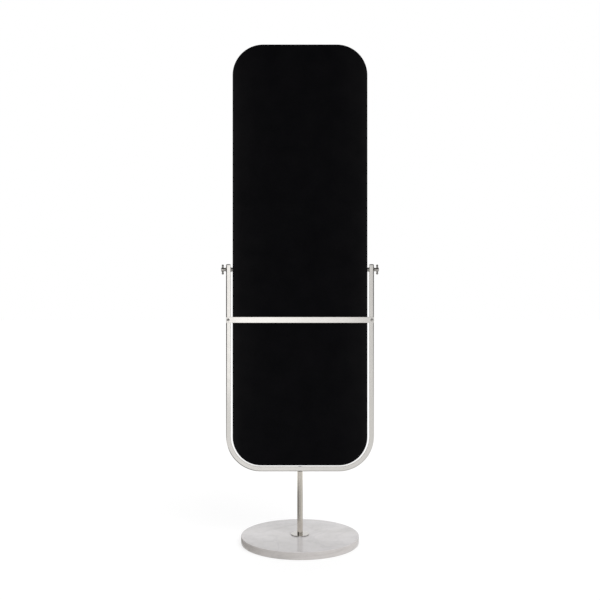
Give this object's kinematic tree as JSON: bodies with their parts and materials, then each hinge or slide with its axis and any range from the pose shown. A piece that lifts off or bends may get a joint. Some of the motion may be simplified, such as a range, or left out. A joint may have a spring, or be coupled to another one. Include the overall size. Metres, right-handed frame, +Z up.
{
  "type": "floor mirror",
  "caption": "Tall round-cornered mirror that tilts in a bent square-tube frame, clamped by thumbscrews, on a slim post and a round stone base.",
  "frame": {"origin": "on the floor, at the centre of the base, under the post's axis", "axes": "+Z up; X across the mirror, along the pivot axis; the crossbar and the black back of the panel face -Y, and the silvered glass faces +Y"},
  "size_m": [0.5378, 0.4, 1.692],
  "materials": {
    "stone": "polished pale grey marble with faint clouding",
    "felt": "pressed wool felt",
    "zinc_steel": "zinc-plated steel",
    "dark_steel": "dark nickel-plated steel",
    "black_oxide": "steel with a black oxide finish",
    "gasket": "matte black rubber",
    "nickel": "satin-polished nickel plate",
    "satin_nickel": "satin nickel plate, a little warmer and darker",
    "cast_nickel": "turned hardware in dark nickel plate",
    "brass": "turned brass",
    "black_board": "board with a satin black lacquer",
    "tape": "white foam mounting tape",
    "glass": "silvered float glass with ground edges",
    "fibre": "black vulcanised fibre"
  },
  "bodies": {
    "stand": {"marble_base": "stone", "base_pads": "felt", "base_washer": "zinc_steel", "base_bolt": "zinc_steel", "flange_gasket": "gasket", "foot_flange": "nickel", "post_grub_screw": "black_oxide", "post": "satin_nickel", "post_top_plug": "zinc_steel", "frame_screw": "zinc_steel", "frame_bush": "zinc_steel", "u_frame": "nickel", "left_tube_cap": "nickel", "right_tube_cap": "nickel", "crossbar": "nickel", "left_rivet_nut": "zinc_steel", "right_rivet_nut": "zinc_steel", "left_crossbar_screw": "dark_steel", "right_crossbar_screw": "dark_steel", "crossbar_bumpers": "gasket", "left_pivot_bush": "brass", "right_pivot_bush": "brass"},
    "mirror": {"backboard": "black_board", "mounting_tape": "tape", "mirror_glass": "glass", "left_panel_insert": "brass", "right_panel_insert": "brass", "left_pivot_spacer": "cast_nickel", "right_pivot_spacer": "cast_nickel", "left_friction_washer": "fibre", "right_friction_washer": "fibre"},
    "left_clamp": {"left_clamp_washer": "cast_nickel"},
    "right_clamp": {"right_clamp_washer": "cast_nickel"},
    "left_thumbscrew": {"left_thumbscrew": "cast_nickel", "left_tommy_bar": "cast_nickel"},
    "right_thumbscrew": {"right_thumbscrew": "cast_nickel", "right_tommy_bar": "cast_nickel"}
  },
  "joints": [
    {"name": "mirror_tilt", "type": "hinge", "parent": "stand", "child": "mirror", "pos_m": [0, 0, 0.9275], "axis": [1, 0, 0], "range_deg": [0, 172]},
    {"name": "left_thumbscrew_travel", "type": "slide", "parent": "mirror", "child": "left_clamp", "axis": [-1, 0, 0], "range_m": [0, 0.002]},
    {"name": "left_thumbscrew_turn", "type": "hinge", "parent": "left_clamp", "child": "left_thumbscrew", "pos_m": [-0.2627, 0, 0.9275], "axis": [-1, 0, 0], "range_deg": [0, 720]},
    {"name": "right_thumbscrew_travel", "type": "slide", "parent": "mirror", "child": "right_clamp", "axis": [1, 0, 0], "range_m": [0, 0.002]},
    {"name": "right_thumbscrew_turn", "type": "hinge", "parent": "right_clamp", "child": "right_thumbscrew", "pos_m": [0.2627, 0, 0.9275], "axis": [1, 0, 0], "range_deg": [0, 720]}
  ],
  "couplings": [
    {"joint": "left_thumbscrew_turn", "follows": "left_thumbscrew_travel", "rad_per_m": 6283.2},
    {"joint": "right_thumbscrew_turn", "follows": "right_thumbscrew_travel", "rad_per_m": 6283.2}
  ]
}
